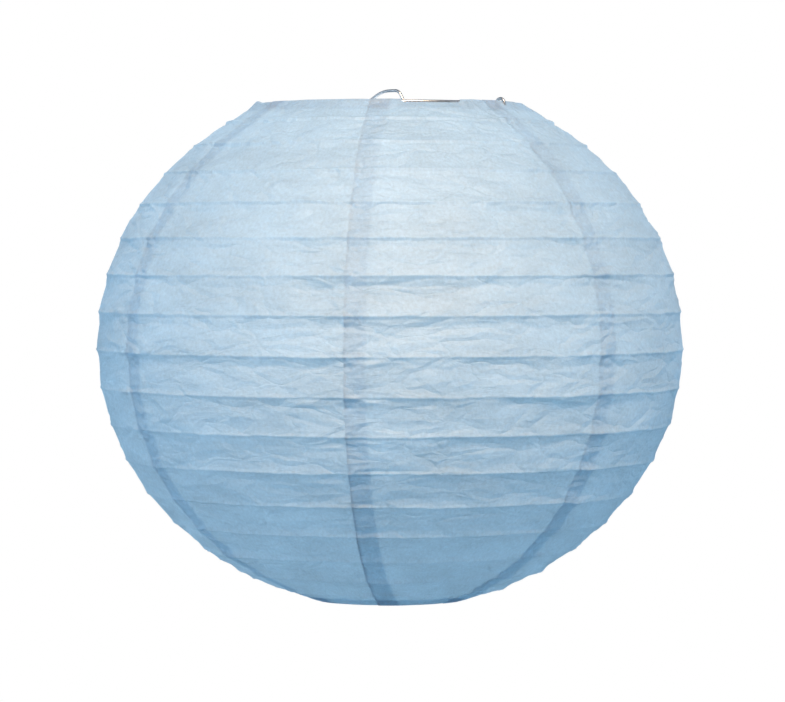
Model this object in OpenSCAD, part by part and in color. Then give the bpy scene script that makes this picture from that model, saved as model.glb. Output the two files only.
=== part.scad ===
// Round ribbed paper lantern, 30 cm across, hanging from its wire expander.
// Millimetres. The origin is where a hook bears inside the hanging loop, +Z is up.

/* [Paper shell] */
// Radius of the shell, measured over the widest rib
shell_r = 150; // [140:1:160]
// Half height of the ellipse that the ribs lie on
shell_half_h = 135.5; // [125:0.1:142]
// Number of paper gores glued edge to edge
gore_count = 7; // [7:1:7]
// Direction of the first seam, turned from +X
first_seam = -98.5; // [-110:0.5:-90]
// Thickness of the paper, with its glue
paper_t = 0.3; // [0.2:0.05:0.35]

/* [Rib hoops] */
// Number of wire hoops between the top ring and the bottom ring
rib_count = 16; // [16:1:16]
// Height angle of the uppermost hoop on the ellipse
first_rib = 56.2; // [55:0.1:57]
// Step between hoops on the ellipse, in degrees
rib_step = 8.2; // [8.1:0.01:8.3]
// Diameter of the rib wire
rib_wire_d = 1; // [0.8:0.1:1.2]

/* [End rings] */
// Radius of the top ring's wire centre
top_ring_r = 67.5; // [66:0.5:69]
// Height of the top ring above the widest level
top_ring_h = 121; // [120:0.5:122]
// Radius of the bottom ring's wire centre
bottom_ring_r = 39.5; // [39:0.5:41]
// Depth of the bottom ring below the widest level
bottom_ring_h = 129.8; // [129:0.1:131]
// Diameter of both rings' wire
ring_wire_d = 1.8; // [1.6:0.1:2]

/* [Expander] */
// Diameter of the expander's wire
frame_wire_d = 1.5; // [1.4:0.1:1.6]
// Direction of the hanger bow, turned from +X
bow_turn = -35; // [-40:1:-30]
// Height of the arms above the top ring where they meet the loop
arm_rise = 2.7; // [2.5:0.1:3]
// Height of the loop's wire centre above the top ring
loop_rise = 8.15; // [8:0.05:9]
// Reach of the loop's long slope, from the lantern's axis
slope_reach = 13.4; // [13:0.2:14.6]
// Reach of the loop's steep side, from the lantern's axis
steep_reach = 8.6; // [8.2:0.2:9.2]
// Distance of each upright from the lantern's axis
upright_x = 20; // [19:0.5:22]
// Centre radius of the hooks that carry the top ring
hook_bend_r = 2.3; // [2.3:0.1:2.5]

/* [Hidden] */

$fn = 48;
// running gap between paper and wire, which are separate solids
gap = 0.06;
// turn left open between neighbouring gores, in degrees
seam_gap = 0.04;
rib_wire_r = rib_wire_d / 2;
ring_wire_r = ring_wire_d / 2;
frame_wire_r = frame_wire_d / 2;

// heights in the row frame
top_z = -(loop_rise - frame_wire_r);
mid_z = top_z - top_ring_h;
bottom_z = mid_z - bottom_ring_h;
top_ring_place = [top_ring_r, top_z];
bottom_ring_place = [bottom_ring_r, bottom_z];

// outside of the paper where it is wrapped round a ring
wrap_r = ring_wire_r + gap + paper_t;
// from the outside of the paper to the centre of a rib's wire
rib_inset = paper_t + gap + rib_wire_r;

// the loop's flat top, whose ends turn into the long slope and the steep side
loop_z = top_z + loop_rise;
flat_back = -4.9;
flat_front = 5.4;
long_bend_r = 17;
steep_bend_r = 3.5;
arm_bend_r = 2.5;

// a hook starts below the ring on its inner side and turns up, over and under it
hook_lift = hook_bend_r - frame_wire_r - wrap_r - gap;
hook_root_inset = 3.3;
hook_root_drop = 0.9;
hook_root = [top_ring_r - hook_root_inset, top_z - hook_root_drop];
hook_root_bend_r = 1.4;
hook_join = 150;
hook_tip = -110;
// length of arm that belongs to the hook
hook_arm = 4;
// slits in the paper, past the wrap round the top ring
slit_w = frame_wire_d + 0.8;
slit_start = 0.1;
slit_depth = 5;
slit_h = 8;

// the uprights hang from a bar just under the arms and end above the bottom ring
bar_drop = 0.5;
upright_lift = 8;
upright_bend_r = 4;
upright_end = bottom_z + upright_lift;
bar_z = top_z + arm_rise - bar_drop;

// a foot steps up against the inside of the bottom ring and lies on top of it
foot_bend_r = 1.2;
foot_step = 2.6;
foot_reach = wrap_r + gap + frame_wire_r;
foot_tip = 0.7;
// how far a joint ball stands proud of the wire it sits in
ball_proud = 0.02;

paper_blue = "#a9cbe5";
steel = "#b9bcc0";
rib_white = "#dfe6ea";

function pad2(i) = i < 10 ? str("0", i) : str(i);
function rib_name(i) = str("rib_hoop_", pad2(i));
function gore_name(i) = str("paper_gore_", i);

// a rib's place on the ellipse, pulled in from the paper's outside by inset
function rib_angle(i) = first_rib - (i - 1) * rib_step;
function rib_r(i, inset) = (shell_r - inset) * cos(rib_angle(i));
function rib_z(i, inset) = mid_z + (shell_half_h - inset) * sin(rib_angle(i));
function rib_place(i, inset) = [rib_r(i, inset), rib_z(i, inset)];

// where the strip of paper leaves the wrap round a ring, towards the rib next to it;
// side is 1 where the outside of the paper faces up and -1 where it faces down
function leaving(ring, rib, side, turn) =
    let (way = atan2(rib[1] - ring[1], rib[0] - ring[0]) + side * turn)
    ring + (wrap_r - paper_t / 2) * [cos(way), sin(way)];

// outline of the paper at inset from its outside, from the top ring to the bottom ring
function paper_line(inset, turn) = concat(
    [leaving(top_ring_place, rib_place(1, 0), 1, turn)],
    [for (i = [1:rib_count]) rib_place(i, inset)],
    [leaving(bottom_ring_place, rib_place(rib_count, 0), -1, turn)]
);
function reversed(list) = [for (i = [len(list) - 1:-1:0]) list[i]];

// geometry of a bend at corner b of the path a, b, c
function heading(a, b) = atan2(b[1] - a[1], b[0] - a[0]);
function turn_at(a, b, c) =
    let (turn = heading(b, c) - heading(a, b))
    turn > 180 ? turn - 360 : turn < -180 ? turn + 360 : turn;
function setback(path, radii, k) = k == 0 || k == len(path) - 1 ? 0
    : radii[k - 1] * abs(tan(turn_at(path[k - 1], path[k], path[k + 1]) / 2));
function along(a, b, d) = a + d * (b - a) / norm(b - a);

// a closed ring of round wire lying level
module wire_ring(r, z, wire_r) {
    translate([0, 0, z]) rotate_extrude($fn = 96) translate([r, 0]) circle(r = wire_r, $fn = 24);
}

// a straight wire in the XZ plane
module wire_run(a, b) {
    translate([a[0], 0, a[1]]) rotate([0, 90 - heading(a, b), 0]) cylinder(r = frame_wire_r, h = norm(b - a));
}

// a bend in the XZ plane about centre, counter-clockwise from one angle by sweep
module wire_bend(centre, r, from, sweep) {
    translate([centre[0], 0, centre[1]]) rotate([90, 0, 0])
        rotate_extrude(angle = sweep, start = from) translate([r, 0]) circle(r = frame_wire_r, $fn = 24);
}

// a wire bent along a path in the XZ plane, with one radius for each inner corner;
// a ball hides each place where a straight run meets a bend
module bent_wire(path, radii) {
    last = len(path) - 1;
    for (k = [0:last - 1])
        wire_run(
            along(path[k], path[k + 1], setback(path, radii, k)),
            along(path[k + 1], path[k], setback(path, radii, k + 1))
        );
    for (k = [1:last - 1]) {
        turn = turn_at(path[k - 1], path[k], path[k + 1]);
        start = along(path[k], path[k - 1], setback(path, radii, k));
        to_centre = heading(path[k - 1], path[k]) + sign(turn) * 90;
        centre = start + radii[k - 1] * [cos(to_centre), sin(to_centre)];
        wire_bend(centre, radii[k - 1], to_centre + 180 + min(turn, 0), abs(turn));
        joint_ball(start);
        joint_ball(along(path[k], path[k + 1], setback(path, radii, k)));
    }
}

module joint_ball(place) {
    translate([place[0], 0, place[1]]) sphere(r = frame_wire_r + ball_proud);
}

// the expander stands in a plane through the axis, its uprights one wire behind the bow
module in_bow_plane(behind = 0) {
    rotate([0, 0, bow_turn]) translate([0, behind, 0]) children();
}

module top_ring() {
    color(steel) wire_ring(top_ring_r, top_z, ring_wire_r);
}

module bottom_ring() {
    color(steel) wire_ring(bottom_ring_r, bottom_z, ring_wire_r);
}

module rib_hoop(i) {
    color(rib_white) wire_ring(rib_r(i, rib_inset), rib_z(i, rib_inset), rib_wire_r);
}

// slits where the hooks pass through the paper just outside the top ring
module hook_slits() {
    in_bow_plane() for (side = [0, 180]) rotate([0, 0, side])
        translate([top_ring_r + wrap_r + slit_start, -slit_w / 2, top_z - slit_depth])
            cube([slit_depth, slit_w, slit_h]);
}

// one sheet of paper from ring to ring, wrapped round both rings and straight between ribs
module paper_gore(i) {
    outside_turn = 90;
    inside_turn = 54;
    start = first_seam + (i - 1) * 360 / gore_count + seam_gap / 2;
    width = 360 / gore_count - seam_gap;
    color(paper_blue) difference() {
        union() {
            rotate_extrude(angle = width, start = start)
                polygon(concat(paper_line(0, outside_turn), reversed(paper_line(paper_t, inside_turn))));
            for (ring = [top_ring_place, bottom_ring_place])
                rotate_extrude(angle = width, start = start) translate(ring) difference() {
                    circle(r = wrap_r);
                    circle(r = wrap_r - paper_t);
                }
        }
        hook_slits();
    }
}

// a point on the straight arm that runs from the loop's foot to a hook's root
function arm_point(foot, back) = along(hook_root, [foot, top_z + arm_rise], back);

// arms and hanging loop, bent from one wire
module hanger_bow() {
    front_end = arm_point(steep_reach, hook_arm);
    back_end = arm_point(slope_reach, hook_arm);
    color(steel) in_bow_plane() bent_wire(
        [
            [-back_end[0], back_end[1]],
            [-slope_reach, top_z + arm_rise],
            [flat_back, loop_z],
            [flat_front, loop_z],
            [steep_reach, top_z + arm_rise],
            front_end
        ],
        [arm_bend_r, long_bend_r, steep_bend_r, arm_bend_r]
    );
}

// springy hook at the end of an arm, which carries the top ring
module hook(foot) {
    centre = [top_ring_r, top_z + hook_lift];
    join = centre + hook_bend_r * [cos(hook_join), sin(hook_join)];
    color(steel) {
        bent_wire([arm_point(foot, hook_arm), hook_root, join], [hook_root_bend_r]);
        wire_bend(centre, hook_bend_r, hook_tip, hook_join - hook_tip);
        joint_ball(join);
    }
}

// two uprights and the bar that joins them, bent from one wire
module uprights() {
    color(steel) in_bow_plane(frame_wire_d) bent_wire(
        [[-upright_x, upright_end], [-upright_x, bar_z], [upright_x, bar_z], [upright_x, upright_end]],
        [upright_bend_r, upright_bend_r]
    );
}

// springy foot at the end of an upright, which holds the bottom ring down
module foot() {
    tip_z = bottom_z + foot_reach;
    back_x = bottom_ring_r - foot_reach;
    color(steel) bent_wire(
        [
            [upright_x, upright_end],
            [upright_x, tip_z - foot_step],
            [back_x, tip_z - foot_step],
            [back_x, tip_z],
            [bottom_ring_r + foot_tip, tip_z]
        ],
        [upright_bend_r, foot_bend_r, foot_bend_r]
    );
}

top_ring();
for (i = [1:rib_count]) rib_hoop(i);
bottom_ring();
for (i = [1:gore_count]) paper_gore(i);
hanger_bow();
uprights();
in_bow_plane() hook(steep_reach);  // hook_front
in_bow_plane() mirror([1, 0, 0]) hook(slope_reach);  // hook_back
in_bow_plane(frame_wire_d) foot();  // foot_front
in_bow_plane(frame_wire_d) mirror([1, 0, 0]) foot();  // foot_back
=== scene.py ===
import math
import random

import bpy
import numpy as np
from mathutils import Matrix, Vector


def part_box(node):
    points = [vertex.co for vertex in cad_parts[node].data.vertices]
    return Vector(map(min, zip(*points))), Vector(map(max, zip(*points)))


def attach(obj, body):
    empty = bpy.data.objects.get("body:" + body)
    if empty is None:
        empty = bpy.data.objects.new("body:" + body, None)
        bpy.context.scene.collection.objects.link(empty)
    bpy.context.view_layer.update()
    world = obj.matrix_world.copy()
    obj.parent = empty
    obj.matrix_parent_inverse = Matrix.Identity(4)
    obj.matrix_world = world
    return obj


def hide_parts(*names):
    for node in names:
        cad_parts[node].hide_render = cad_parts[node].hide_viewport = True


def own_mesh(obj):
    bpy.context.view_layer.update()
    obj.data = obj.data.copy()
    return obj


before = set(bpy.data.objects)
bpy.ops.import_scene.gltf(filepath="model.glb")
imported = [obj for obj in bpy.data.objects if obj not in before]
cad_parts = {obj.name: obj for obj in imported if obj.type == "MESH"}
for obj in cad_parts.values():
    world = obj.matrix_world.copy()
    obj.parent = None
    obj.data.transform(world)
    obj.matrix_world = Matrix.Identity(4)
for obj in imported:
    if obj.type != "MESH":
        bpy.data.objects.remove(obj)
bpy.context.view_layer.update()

MM = 0.001

# -------------------------------------------------------- the lantern, read from the frame

GORES = 7
RIBS = 16
FIRST_SEAM = math.radians(-98.5)
GORE_ANGLE = 2 * math.pi / GORES
RIB_NODES = [f"rib_hoop_{i:02d}" for i in range(1, RIBS + 1)]
RING_NODES = ["top_ring", "bottom_ring"]
EXPANDER_NODES = ["hanger_bow", "uprights", "hook_front", "hook_back", "foot_front", "foot_back"]


def wire_of(node):
    """(radius of the ring, height, radius of its wire) of a level ring of wire."""
    low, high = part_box(node)
    wire = (high.z - low.z) / 2
    return (high.x - low.x) / 2 - wire, (high.z + low.z) / 2, wire


TOP = wire_of("top_ring")
BOTTOM = wire_of("bottom_ring")
HOOPS = [wire_of(node) for node in RIB_NODES]
WIDEST = max(HOOPS)

PAPER_LIFT = 0.25 * MM      # from the wire's surface to the middle of the paper
PAPER_CLEAR = 0.06 * MM     # the least of it, where the paper is pressed in
LAP = 10.5 * MM             # how far a gore runs on under its neighbour
LAP_STEP = 0.11 * MM        # half the step between the two layers of a lap
LAP_EASE = 6 * MM           # over which a gore rises or sinks to its place in a lap
LAP_CLEAR = 0.66            # how clear the glue makes the paper under a lap
HEM = 8 * MM                # paper turned in behind an end ring
HEM_PLACES = (1.0, 0.75, 0.5, 0.3, 0.12)
TURN_ROWS = 12              # rows of the paper in its turn round an end ring
TURN_ANGLE = math.radians(175)
GLUED_ROWS = 8              # rows at each end that hold glue: the hem and the start of the turn
COLUMNS = 178


# -------------------------------------------------------- the meridian of the paper

def band_places():
    """Where the rows of a band lie between its two ribs, closer together beside each rib."""
    return np.concatenate([np.linspace(0, 0.16, 7)[:-1], np.linspace(0.16, 0.84, 20),
                           np.linspace(0.84, 1, 7)[1:-1]])


def meridian():
    """Rows of the paper from the turned-in hem of the top ring to that of the bottom ring.

    For each row: its place (radius, height), the outward direction, the distance along the
    paper, its band and its share of the way down that band."""
    centres = [Vector(ring[:2]) for ring in [TOP] + HOOPS + [BOTTOM]]
    knots, leans = [], []
    for i, hoop in enumerate(HOOPS, 1):
        chord = (centres[i + 1] - centres[i - 1]).normalized()
        leans.append(Vector((-chord.y, chord.x)))
        knots.append(centres[i] + leans[-1] * (hoop[2] + PAPER_LIFT))

    def wrap(ring, towards, side):
        """Points of the hem and of the turn round a ring; side is 1 at the top, else -1."""
        centre = Vector(ring[:2])
        reach = ring[2] + PAPER_LIFT
        way = (towards - centre).normalized()
        leave = math.atan2(way.y, way.x) + side * math.pi / 2
        enter = leave + side * TURN_ANGLE
        turn = [centre + reach * Vector((math.cos(a), math.sin(a)))
                for a in np.linspace(enter, leave, TURN_ROWS)]
        return [turn[0] + way * HEM * t for t in HEM_PLACES] + turn

    top = wrap(TOP, knots[0], 1)
    bottom = wrap(BOTTOM, knots[-1], -1)[::-1]
    ends = [top[-1]] + knots + [bottom[0]]
    out_at = [(top[-1] - centres[0]).normalized()] + leans
    out_at.append((bottom[0] - centres[-1]).normalized())
    rows = [(p, out_at[0], -1, 0.0) for p in top[:-1]]
    for band, (a, b) in enumerate(zip(ends, ends[1:])):
        for s in band_places():
            out = out_at[band].lerp(out_at[band + 1], s).normalized()
            rows.append((a.lerp(b, s), out, band, s))
    rows += [(p, out_at[-1], RIBS + 1, 0.0) for p in bottom]
    place, out = (np.array([[v.x, v.y] for v in column]) for column in list(zip(*rows))[:2])
    band, share = (np.array(column) for column in list(zip(*rows))[2:])
    run = np.concatenate([[0], np.cumsum(np.linalg.norm(np.diff(place, axis=0), axis=1))])
    return place, out, run, band, share


PLACE, OUT, RUN, BAND, SHARE = meridian()
ON_SHELL = (BAND >= 0) & (BAND <= RIBS)
RIB_RUN = [RUN[np.flatnonzero(BAND == b)[0]] for b in range(RIBS + 2)]


# -------------------------------------------------------- folds of the paper between its ribs

SEAM_PULL = 22 * MM         # how far from a seam the paper folds in deeper
RIDGE = 0.30 * MM           # a ridge over each rib
RIDGE_WIDTH = 0.8 * MM
GROOVE = 0.45 * MM          # a pinch just below each rib, fading towards the bottom
GROOVE_WIDTH = 0.8 * MM
GROOVE_BELOW = 1.3 * MM
GROOVE_FADE = 5             # bands over which it fades
RIDGE_WANDER = 0.2 * MM     # how far a ridge strays from its rib
BULGE = 0.22 * MM


def seam(k):
    return FIRST_SEAM + k * GORE_ANGLE


def waves(rng, slowest, fastest, step):
    """Smooth periodic noise round the lantern as (turns, phase, size) terms, finer ones smaller."""
    return [(n + rng.randint(0, step - 1), rng.uniform(0, 2 * math.pi), (slowest / n) ** 0.4)
            for n in range(slowest, fastest, step)]


def wave_at(terms, turn):
    total = sum(size * np.sin(n * turn + phase) for n, phase, size in terms)
    return total / math.sqrt(sum(size * size for _, _, size in terms) / 2)


def near_seams(turn, radius, reach):
    """1 on a seam, falling to 0 away from it over reach."""
    nearest = (turn - FIRST_SEAM + GORE_ANGLE / 2) % GORE_ANGLE - GORE_ANGLE / 2
    return np.exp(-(nearest * radius / reach) ** 2)


def make_bands():
    """How each band of paper folds in between its two ribs.

    It has an upper and a lower fold line, each with its share of the band and its depth. Near
    the top the upper one is the deeper, near the bottom the lower one."""
    rng = random.Random(7)
    bands = []
    for b in range(RIBS + 1):
        low = 1 / (1 + math.exp(-(b - 9.3) / 1.1))      # from 0 in the upper half to 1 below
        crown = math.exp(-((b - 1) / 2.2) ** 2)         # 1 by the top ring, where folds are slight
        bands.append(dict(
            upper_share=0.25 - 0.11 * crown,
            upper_depth=(1.45 - 0.95 * crown - 0.9 * low) * MM,
            lower_share=0.80,
            lower_depth=(0.24 + 0.16 * crown + 0.55 * low) * MM,
            share=waves(rng, 3, 40, 5), depth=waves(rng, 2, 40, 4),
            low_share=waves(rng, 3, 40, 5), low_depth=waves(rng, 2, 40, 4),
            line=waves(rng, 5, 60, 6), bulge=waves(rng, 2, 30, 3)))
    return bands


BANDS = make_bands()


def fold_field(turn):
    """Outward move of every row at these turns: the folds of each band and the ridges over ribs."""
    field = np.zeros(turn.shape)
    radius = PLACE[:, :1]
    for b, band in enumerate(BANDS):
        rows = np.flatnonzero(BAND == b)
        s = SHARE[rows][:, None]
        t = turn[rows]
        pull = 0.3 * near_seams(t, radius[rows], SEAM_PULL)
        taut = 0.45 + 0.55 * np.sin(t) ** 2             # folds are deep in front and behind
        upper = np.clip(band["upper_share"] + 0.04 * wave_at(band["share"], t), 0.08, 0.46)
        lower = np.clip(band["lower_share"] + 0.03 * wave_at(band["low_share"], t), 0.66, 0.93)
        vary_upper = np.clip(1.0 + 0.25 * wave_at(band["depth"], t) + pull, 0.3, 1.8)
        vary_lower = np.clip(0.9 + 0.3 * wave_at(band["low_depth"], t) + pull, 0.1, 2.0)
        in_upper = taut * band["upper_depth"] * vary_upper
        in_lower = taut * band["lower_depth"] * vary_lower
        first = in_upper * s / upper
        middle = in_upper + (in_lower - in_upper) * (s - upper) / (lower - upper)
        last = in_lower * (1 - s) / (1 - lower)
        bulge = BULGE * (0.6 + wave_at(band["bulge"], t)) * np.sin(math.pi * s)
        field[rows] = bulge - np.where(s < upper, first, np.where(s < lower, middle, last))
    for b in range(1, RIBS + 1):
        past = RUN[:, None] - RIB_RUN[b] - RIDGE_WANDER * wave_at(BANDS[b]["line"], turn)
        ridge = RIDGE * np.exp(-(past / RIDGE_WIDTH) ** 2)
        groove = GROOVE * math.exp(-b / GROOVE_FADE)
        field += ridge - groove * np.exp(-((past - GROOVE_BELOW) / GROOVE_WIDTH) ** 2)
    return field


# -------------------------------------------------------- sharp creases

LONG_CREASES = 110          # of each kind in a gore, besides those where its seam crosses ribs
SLANTING_CREASES = 34
SMALL_CREASES = 420


def make_creases():
    """Every sharp crease as (turn, run, direction, length, height, width, bow).

    They are the same for both layers of a lap."""
    rng = random.Random(20)
    creases = []

    def crease(turn, at, heading, length, height, width, bow=0.12):
        creases.append((turn, at, heading, length * MM, height * MM, width * MM,
                        rng.uniform(-bow, bow)))

    def either(low, high):
        return rng.choice([-1, 1]) * rng.uniform(low, high)

    def from_crossing(k, b, side):
        """Creases that start where a seam crosses a rib, and go to one side of it."""
        radius = HOOPS[b - 1][0]
        for _ in range(rng.randint(2, 4)):
            crease(seam(k) + rng.uniform(-3, 3) * MM / radius,
                   RIB_RUN[b] + rng.uniform(-3, 8) * MM,
                   side + rng.gauss(0, 0.16), rng.uniform(18, 60),
                   either(0.3, 0.75), rng.uniform(0.7, 1.9))
        for _ in range(rng.randint(3, 6)):
            crease(seam(k) + rng.uniform(-4, 8) * MM / radius,
                   RIB_RUN[b] + rng.uniform(-4, 6) * MM,
                   side + rng.uniform(-0.9, 0.9), rng.uniform(4, 12),
                   either(0.2, 0.5), rng.uniform(0.4, 0.8))

    def anywhere(k):
        return seam(k) + rng.uniform(0, GORE_ANGLE), rng.uniform(RIB_RUN[0], RIB_RUN[-1])

    for k in range(GORES):
        for b in range(1, RIBS + 1):
            for side in (0, math.pi):
                from_crossing(k, b, side)
        for _ in range(LONG_CREASES):
            crease(*anywhere(k), rng.gauss(0, 0.13) + rng.choice([0, math.pi]),
                   rng.uniform(15, 60), either(0.12, 0.42), rng.uniform(0.6, 1.7))
        for _ in range(SLANTING_CREASES):
            crease(*anywhere(k), either(0.3, 0.75) + rng.choice([0, math.pi]),
                   rng.uniform(10, 30), either(0.22, 0.5), rng.uniform(0.45, 0.8))
        for _ in range(SMALL_CREASES):
            crease(*anywhere(k), rng.uniform(0, 2 * math.pi),
                   rng.uniform(4, 16), either(0.08, 0.24), rng.uniform(0.4, 1.2), 0.3)
    return creases


CREASES = make_creases()


def crease_field(turn):
    """Outward move of every row at these turns from the sharp creases, each with a steep flank."""
    field = np.zeros(turn.shape)
    low, high = turn.min(), turn.max()
    radius = PLACE[:, 0]
    for start, at, way, length, size, width, bow in CREASES:
        reach = length + 6 * width
        wide = reach / (0.8 * radius[np.searchsorted(RUN, at)])
        tall = reach * max(abs(math.sin(way)), 0.2) + 6 * width
        for middle in (start - 2 * math.pi, start, start + 2 * math.pi):
            if middle + wide < low or middle - wide > high:
                continue
            rows = np.flatnonzero((np.abs(RUN - at) < tall) & ON_SHELL)
            columns = np.flatnonzero(np.abs(turn[rows[0]] - middle) < wide * 1.3)
            if not len(columns):
                continue
            part = np.ix_(rows, columns)
            dx = (turn[part] - middle) * radius[rows][:, None]
            dy = (RUN[rows] - at)[:, None]
            along = (dx * math.cos(way) + dy * math.sin(way)) / length
            bent = bow * length * along * (1 - along)
            across = -dx * math.sin(way) + dy * math.cos(way) - bent
            fade = np.clip(along * 5, 0, 1) * np.clip((1 - along) * 1.6, 0, 1)
            flank = np.where(across > 0, 2.4 * width, width)
            field[part] += size * fade * np.exp(-np.abs(across) / flank)
    return field


# -------------------------------------------------------- laps, rims and wires

GLUE_LINES = 6              # fine wrinkles laid over each other in a lap
GLUE_HEIGHT = 0.035 * MM


def make_glue():
    """Fine level wrinkles that the glue leaves in each lap: (distance apart, phase) by seam."""
    rng = random.Random(3)
    return [[(rng.uniform(2.2, 6.5) * MM, rng.uniform(0, 2 * math.pi)) for _ in range(GLUE_LINES)]
            for _ in range(GORES)]


GLUE = make_glue()


def glue_field(turn):
    field = np.zeros(turn.shape)
    for k, terms in enumerate(GLUE):
        past = ((turn - seam(k) + math.pi) % (2 * math.pi) - math.pi) * PLACE[:, :1]
        begun = np.clip((past + 1.5 * MM) / (3 * MM), 0, 1)
        inside = begun * np.clip((LAP + 4 * MM - past) / (7 * MM), 0, 1)
        lean = RUN[:, None] + 0.12 * past
        wrinkles = sum(np.sin(2 * math.pi * lean / apart + phase) for apart, phase in terms)
        field += GLUE_HEIGHT * inside * wrinkles
    return field


def smooth_step(x):
    x = np.clip(x, 0, 1)
    return x * x * (3 - 2 * x)


def rim_field(turn):
    """Outward move of the paper where it goes round the top ring.

    It stands loose over the ring on the left and lies close by the front hook, and between
    the two a short stretch has slipped down and bares the wire."""
    def span(first, last, ease):
        x = np.degrees(turn + math.pi) % 360 - 180
        return smooth_step((x - first) / ease) * smooth_step((last - x) / ease)

    bare = -1.25 * MM * span(-86, -58.5, 2.5)
    loose = 1.2 * MM * np.maximum(span(-179.9, -162, 9), span(166, 179.9, 9))
    loose = loose + 0.25 * MM * span(-57, -20, 4)
    ripple = 0.1 * MM * (1 + np.sin(11 * turn + 0.4) * np.sin(5 * turn))
    near_ring = np.clip(1 - (RUN - RIB_RUN[0]) / (7 * MM), 0, 1)[:, None]
    return near_ring * (bare + loose + ripple)


def over_wires(move, layer):
    """Keeps each layer of the paper outside each rib's wire, and bends it gently round it."""
    for b in range(1, RIBS + 1):
        wire = HOOPS[b - 1][2]
        off = RUN - RIB_RUN[b]
        rows = np.flatnonzero(np.abs(off) < 2.5 * wire)
        clear = PAPER_CLEAR - PAPER_LIFT + np.maximum(layer[rows], 0)
        move[rows] = np.maximum(move[rows], clear - 0.35 * (off[rows] ** 2 / wire)[:, None])
    return move


def edge_hold():
    """How freely each row may fold: not at all where the paper is held round the end rings."""
    ease = 5 * MM
    free = np.clip((RUN - RIB_RUN[0]) / ease, 0, 1) * np.clip((RIB_RUN[-1] - RUN) / ease, 0, 1)
    return np.where(ON_SHELL, free, 0.0)[:, None]


HOLD = edge_hold()


# -------------------------------------------------------- materials

PAPER_FACE = (0.42, 0.50, 0.57)
PAPER_THROUGH = (0.40, 0.635, 0.81)
THROUGH_SHARE = 0.48        # how much of the paper's light comes from behind it
GLUED_PAPER = (0.72, 0.90, 0.98)
CRUMPLE_HEIGHT = 0.6 * MM


def node_material(name):
    material = bpy.data.materials.new(name)
    material.use_nodes = True
    tree = material.node_tree
    tree.nodes.clear()
    return material, tree


def add(tree, kind, **inputs):
    """A new node; each name sets the input of that name, or else the node's own property."""
    node = tree.nodes.new(kind)
    for key, value in inputs.items():
        if key in node.inputs:
            node.inputs[key].default_value = value
        else:
            setattr(node, key, value)
    return node


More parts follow.
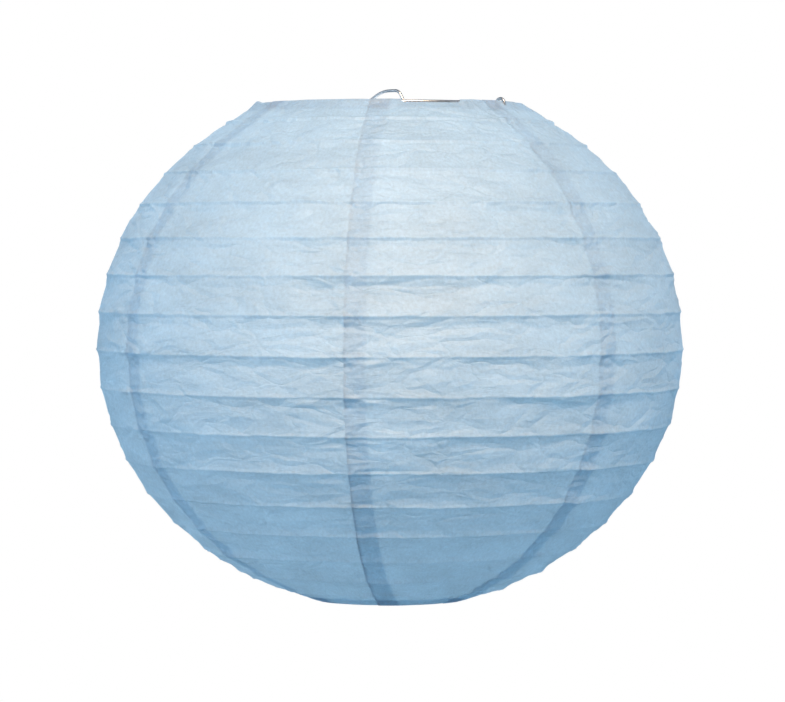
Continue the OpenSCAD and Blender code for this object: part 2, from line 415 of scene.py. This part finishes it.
def paper_material():
    """Thin crinkled tissue: a matt face, light let through, and clearer where glue soaked it."""
    material, tree = node_material("blue_paper")
    link = tree.links.new
    out = add(tree, "ShaderNodeOutputMaterial")
    where = add(tree, "ShaderNodeUVMap")
    stretch = add(tree, "ShaderNodeMapping", Scale=(0.45, 1, 1))
    link(where.outputs["UV"], stretch.inputs["Vector"])

    # fibres of the paper, and softer clouds in it
    cloud = add(tree, "ShaderNodeTexNoise", Scale=40, Detail=6, Roughness=0.72)
    link(stretch.outputs["Vector"], cloud.inputs["Vector"])
    fibre = add(tree, "ShaderNodeTexNoise", Scale=520, Detail=5, Roughness=0.7)
    link(where.outputs["UV"], fibre.inputs["Vector"])

    # crumples too fine for the mesh: flat facets with soft edges, and small dents
    warp = add(tree, "ShaderNodeTexNoise", Scale=60, Detail=3)
    link(stretch.outputs["Vector"], warp.inputs["Vector"])
    shift = add(tree, "ShaderNodeVectorMath", operation="MULTIPLY_ADD")
    shift.inputs[1].default_value = (0.02, 0.02, 0)
    link(warp.outputs["Color"], shift.inputs[0])
    link(stretch.outputs["Vector"], shift.inputs[2])
    crumple = add(tree, "ShaderNodeTexVoronoi", feature="DISTANCE_TO_EDGE", Scale=95)
    link(shift.outputs["Vector"], crumple.inputs["Vector"])
    facet = add(tree, "ShaderNodeMapRange")
    facet.inputs["From Max"].default_value = 0.25
    link(crumple.outputs["Distance"], facet.inputs["Value"])
    small = add(tree, "ShaderNodeTexNoise", Scale=260, Detail=6, Roughness=0.7)
    link(shift.outputs["Vector"], small.inputs["Vector"])
    first = add(tree, "ShaderNodeBump", Strength=0.8, Distance=CRUMPLE_HEIGHT)
    link(facet.outputs["Result"], first.inputs["Height"])
    second = add(tree, "ShaderNodeBump", Strength=1.0, Distance=CRUMPLE_HEIGHT)
    link(small.outputs["Fac"], second.inputs["Height"])
    link(first.outputs["Normal"], second.inputs["Normal"])

    def tinted(colour, amount):
        """The colour, lighter and darker by amount with the mean of the fibres and the clouds."""
        mix = add(tree, "ShaderNodeHueSaturation")
        mix.inputs["Color"].default_value = (*colour, 1)
        value = add(tree, "ShaderNodeMapRange")
        value.inputs["From Min"].default_value = 0.3
        value.inputs["From Max"].default_value = 0.7
        value.inputs["To Min"].default_value = 1 - amount
        value.inputs["To Max"].default_value = 1 + amount
        both = add(tree, "ShaderNodeMath", operation="MULTIPLY_ADD")
        both.inputs[1].default_value = 0.5
        link(fibre.outputs["Fac"], both.inputs[0])
        part = add(tree, "ShaderNodeMath", operation="MULTIPLY")
        part.inputs[1].default_value = 0.5
        link(cloud.outputs["Fac"], part.inputs[0])
        link(part.outputs["Value"], both.inputs[2])
        link(both.outputs["Value"], value.inputs["Value"])
        link(value.outputs["Result"], mix.inputs["Value"])
        return mix

    face = add(tree, "ShaderNodeBsdfPrincipled", Roughness=0.62, IOR=1.6)
    face.inputs["Specular IOR Level"].default_value = 1.0
    face.inputs["Sheen Weight"].default_value = 0.1
    link(tinted(PAPER_FACE, 0.18).outputs["Color"], face.inputs["Base Color"])
    link(second.outputs["Normal"], face.inputs["Normal"])
    through = add(tree, "ShaderNodeBsdfTranslucent")
    link(tinted(PAPER_THROUGH, 0.25).outputs["Color"], through.inputs["Color"])
    link(second.outputs["Normal"], through.inputs["Normal"])
    blend = add(tree, "ShaderNodeMixShader", Fac=THROUGH_SHARE)
    link(face.outputs["BSDF"], blend.inputs[1])
    link(through.outputs["BSDF"], blend.inputs[2])

    lap = add(tree, "ShaderNodeAttribute", attribute_name="lap")
    soaked = add(tree, "ShaderNodeMath", operation="MULTIPLY")
    soaked.inputs[1].default_value = LAP_CLEAR
    link(lap.outputs["Fac"], soaked.inputs[0])
    clear = add(tree, "ShaderNodeBsdfTransparent")
    clear.inputs["Color"].default_value = (*GLUED_PAPER, 1)
    paper = add(tree, "ShaderNodeMixShader")
    link(soaked.outputs["Value"], paper.inputs["Fac"])
    link(blend.outputs["Shader"], paper.inputs[1])
    link(clear.outputs["BSDF"], paper.inputs[2])
    link(paper.outputs["Shader"], out.inputs["Surface"])
    return material


def wire_material(name, colour, roughness, metallic, mottle):
    """Drawn steel wire, in patches that are darker and rougher; mottle is their fineness."""
    material, tree = node_material(name)
    link = tree.links.new
    out = add(tree, "ShaderNodeOutputMaterial")
    face = add(tree, "ShaderNodeBsdfPrincipled", Metallic=metallic)
    place = add(tree, "ShaderNodeTexCoord")
    patch = add(tree, "ShaderNodeTexNoise", Scale=mottle, Detail=5, Roughness=0.65)
    link(place.outputs["Object"], patch.inputs["Vector"])
    shade = add(tree, "ShaderNodeValToRGB")
    shade.color_ramp.elements[0].position = 0.35
    shade.color_ramp.elements[1].position = 0.7
    shade.color_ramp.elements[0].color = (*[c * 0.72 for c in colour], 1)
    shade.color_ramp.elements[1].color = (*colour, 1)
    link(patch.outputs["Fac"], shade.inputs["Fac"])
    link(shade.outputs["Color"], face.inputs["Base Color"])
    rough = add(tree, "ShaderNodeMapRange")
    rough.inputs["To Min"].default_value = roughness - 0.08
    rough.inputs["To Max"].default_value = roughness + 0.12
    link(patch.outputs["Fac"], rough.inputs["Value"])
    link(rough.outputs["Result"], face.inputs["Roughness"])
    drawn = add(tree, "ShaderNodeBump", Strength=0.2, Distance=0.1 * MM)
    link(patch.outputs["Fac"], drawn.inputs["Height"])
    link(drawn.outputs["Normal"], face.inputs["Normal"])
    link(face.outputs["BSDF"], out.inputs["Surface"])
    return material


# -------------------------------------------------------- the lantern

def make_gore(k, material):
    """One sheet of paper, from its own seam, where it lies on top, to a lap under the next gore."""
    name = f"paper_gore_{k + 1}"
    radius = PLACE[:, :1]
    turn = seam(k) + np.linspace(0, 1, COLUMNS)[None, :] * (GORE_ANGLE + LAP / radius)
    from_start = (turn - seam(k)) * radius
    from_end = (seam(k + 1) - turn) * radius
    on_top = np.clip(1 - (from_start - LAP) / LAP_EASE, 0, 1)
    beneath = np.clip(1 - from_end / LAP_EASE, 0, 1)
    layer = LAP_STEP * (on_top - beneath)
    move = HOLD * (fold_field(turn) + crease_field(turn) + glue_field(turn)) + layer
    move = over_wires(move, layer) + rim_field(turn)
    r = radius + OUT[:, :1] * move
    z = PLACE[:, 1:] + OUT[:, 1:] * move
    points = np.stack([r * np.cos(turn), r * np.sin(turn), z], axis=2).reshape(-1, 3)
    row = np.arange(len(PLACE) - 1)[:, None] * COLUMNS
    corner = (row + np.arange(COLUMNS - 1)[None, :]).ravel()
    faces = np.stack([corner, corner + COLUMNS, corner + COLUMNS + 1, corner + 1], axis=1)
    mesh = bpy.data.meshes.new(name)
    mesh.from_pydata(points.tolist(), [], faces.tolist())

    flat = np.stack([turn * WIDEST[0], np.broadcast_to(RUN[:, None], turn.shape)], axis=2)
    corners = np.empty(len(mesh.loops), dtype=np.int32)
    mesh.loops.foreach_get("vertex_index", corners)
    uv = flat.reshape(-1, 2)[corners].astype(np.float32).ravel()
    mesh.uv_layers.new(name="flat").data.foreach_set("uv", uv)
    soaked = smooth_step((-from_end - 0.5 * MM) / (0.8 * MM))
    soaked[:GLUED_ROWS] = soaked[-GLUED_ROWS:] = 1
    lap = mesh.attributes.new("lap", "FLOAT", "POINT")
    lap.data.foreach_set("value", soaked.astype(np.float32).ravel())

    mesh.polygons.foreach_set("use_smooth", [True] * len(mesh.polygons))
    mesh.materials.append(material)
    mesh.update()
    piece = bpy.data.objects.new(name + "_sheet", mesh)
    bpy.context.scene.collection.objects.link(piece)
    return piece


def paint(node, material):
    """Gives a CAD node that stays as it is a better material."""
    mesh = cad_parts[node].data
    mesh.materials.clear()
    mesh.materials.append(material)
    mesh.polygons.foreach_set("use_smooth", [True] * len(mesh.polygons))


def let_light_by(node):
    """The paper's own soft light goes past this wire."""
    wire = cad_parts[node]
    wire.visible_shadow = False
    wire.visible_diffuse = False
    wire.visible_transmission = False


paper = paper_material()
rib_steel = wire_material("rib_wire", (0.66, 0.72, 0.76), 0.42, 0.55, 300)
ring_steel = wire_material("ring_wire", (0.60, 0.61, 0.63), 0.30, 1.0, 500)
frame_steel = wire_material("expander_wire", (0.50, 0.50, 0.52), 0.28, 1.0, 700)

for k in range(GORES):
    gore = make_gore(k, paper)
    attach(gore, "shell_top")
    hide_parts(f"paper_gore_{k + 1}")
    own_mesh(gore)

for node in RIB_NODES:
    paint(node, rib_steel)
for node in RING_NODES:
    paint(node, ring_steel)
for node in RING_NODES + RIB_NODES:
    let_light_by(node)
for node in EXPANDER_NODES:
    paint(node, frame_steel)


# -------------------------------------------------------- floor, light and camera

MIDDLE = (TOP[1] + BOTTOM[1]) / 2 + 4.4 * MM      # height of the widest level
FLOOR = -0.62
FLOOR_REACH = 60
WARM = (1.0, 0.75, 0.51)
PLAIN = (1.0, 0.97, 0.93)
COOL = (0.75, 0.88, 1.0)
GLOW = (0.85, 0.94, 1.0)
WORLD_BELOW = (0.06, 0.08, 0.10)
WORLD_ABOVE = (0.6, 0.8, 1.0)
EYE_DISTANCE = 1.8
EYE_RISE = 47.4 * MM        # above the widest level
TARGET_SINK = 4.1 * MM      # below it
TARGET_RIGHT = 1.3 * MM


def make_floor():
    """A white floor far larger than the view, which lights nothing itself."""
    mesh = bpy.data.meshes.new("floor")
    sides = [(-1, -1), (1, -1), (1, 1), (-1, 1)]
    mesh.from_pydata([(x * FLOOR_REACH, y * FLOOR_REACH, FLOOR) for x, y in sides],
                     [], [(0, 1, 2, 3)])
    material, tree = node_material("pale_floor")
    out = add(tree, "ShaderNodeOutputMaterial")
    glow = add(tree, "ShaderNodeEmission", Color=(1, 1, 1, 1), Strength=1.0)
    tree.links.new(glow.outputs["Emission"], out.inputs["Surface"])
    mesh.materials.append(material)
    floor = bpy.data.objects.new("floor", mesh)
    bpy.context.scene.collection.objects.link(floor)
    floor.visible_diffuse = False
    floor.visible_glossy = False
    floor.visible_transmission = False
    floor.visible_shadow = False


def make_world():
    """A white room to the eye; it lights the lantern softly, more from above than from below."""
    world = bpy.data.worlds.new("studio")
    bpy.context.scene.world = world
    world.use_nodes = True
    tree = world.node_tree
    tree.nodes.clear()
    link = tree.links.new
    out = add(tree, "ShaderNodeOutputWorld")
    ray = add(tree, "ShaderNodeLightPath")
    seen = add(tree, "ShaderNodeBackground", Color=(1, 1, 1, 1), Strength=1.0)
    light = add(tree, "ShaderNodeBackground", Strength=0.4)
    place = add(tree, "ShaderNodeTexCoord")
    split = add(tree, "ShaderNodeSeparateXYZ")
    link(place.outputs["Generated"], split.inputs["Vector"])
    fade = add(tree, "ShaderNodeValToRGB")
    fade.color_ramp.elements[0].position = 0.0
    fade.color_ramp.elements[0].color = (*WORLD_BELOW, 1)
    fade.color_ramp.elements[1].position = 1.0
    fade.color_ramp.elements[1].color = (*WORLD_ABOVE, 1)
    up = add(tree, "ShaderNodeMapRange")
    up.inputs["From Min"].default_value = -0.6
    up.inputs["From Max"].default_value = 0.8
    link(split.outputs["Z"], up.inputs["Value"])
    link(up.outputs["Result"], fade.inputs["Fac"])
    link(fade.outputs["Color"], light.inputs["Color"])
    both = add(tree, "ShaderNodeMixShader")
    link(ray.outputs["Is Camera Ray"], both.inputs["Fac"])
    link(light.outputs["Background"], both.inputs[1])
    link(seen.outputs["Background"], both.inputs[2])
    link(both.outputs["Shader"], out.inputs["Surface"])


def new_lamp(name, kind, power, colour):
    """A lamp that the camera doesn't see."""
    data = bpy.data.lights.new(name, kind)
    data.energy = power
    data.color = colour
    lamp = bpy.data.objects.new(name, data)
    bpy.context.scene.collection.objects.link(lamp)
    lamp.visible_camera = False
    return lamp


def soft_light(name, azimuth, elevation, distance, size, power, colour):
    """A square soft box; azimuth 0 is on the camera's side and grows to the right."""
    a, e = math.radians(azimuth), math.radians(elevation)
    away = Vector((math.sin(a) * math.cos(e), -math.cos(a) * math.cos(e), math.sin(e)))
    lamp = new_lamp(name, "AREA", power, colour)
    lamp.data.size = size
    lamp.location = Vector((0, 0, MIDDLE)) + away * distance
    lamp.rotation_euler = (-away).to_track_quat("-Z", "Y").to_euler()


def glow_inside(power):
    """The light that thin paper gathers inside, as one soft lamp that moves with a middle hoop."""
    lamp = new_lamp("glow", "POINT", power, GLOW)
    lamp.data.shadow_soft_size = 60 * MM
    lamp.location = (0, 0, MIDDLE)
    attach(lamp, f"hoop_{RIBS // 2:02d}")


def make_camera():
    """Level with the upper part of the shell, twelve radii away, through a long lens."""
    eye = Vector((0, -EYE_DISTANCE, MIDDLE + EYE_RISE))
    target = Vector((TARGET_RIGHT, 0, MIDDLE - TARGET_SINK))
    data = bpy.data.cameras.new("camera")
    data.sensor_width = 36
    data.lens = 161
    data.clip_end = 200
    camera = bpy.data.objects.new("camera", data)
    bpy.context.scene.collection.objects.link(camera)
    camera.location = eye
    camera.rotation_euler = (target - eye).to_track_quat("-Z", "Y").to_euler()
    bpy.context.scene.camera = camera


make_floor()
make_world()
soft_light("key", 10, 44, 2.0, 0.7, 63, WARM)
soft_light("front", -14, -12, 2.0, 1.6, 13, PLAIN)
soft_light("back", 180, 10, 2.2, 1.2, 14, COOL)
glow_inside(0.52)
soft_light("left", -80, 0, 2.2, 1.4, 20, COOL)
soft_light("right", 80, 0, 2.2, 1.4, 12, COOL)
make_camera()
bpy.context.scene.view_settings.view_transform = "Standard"
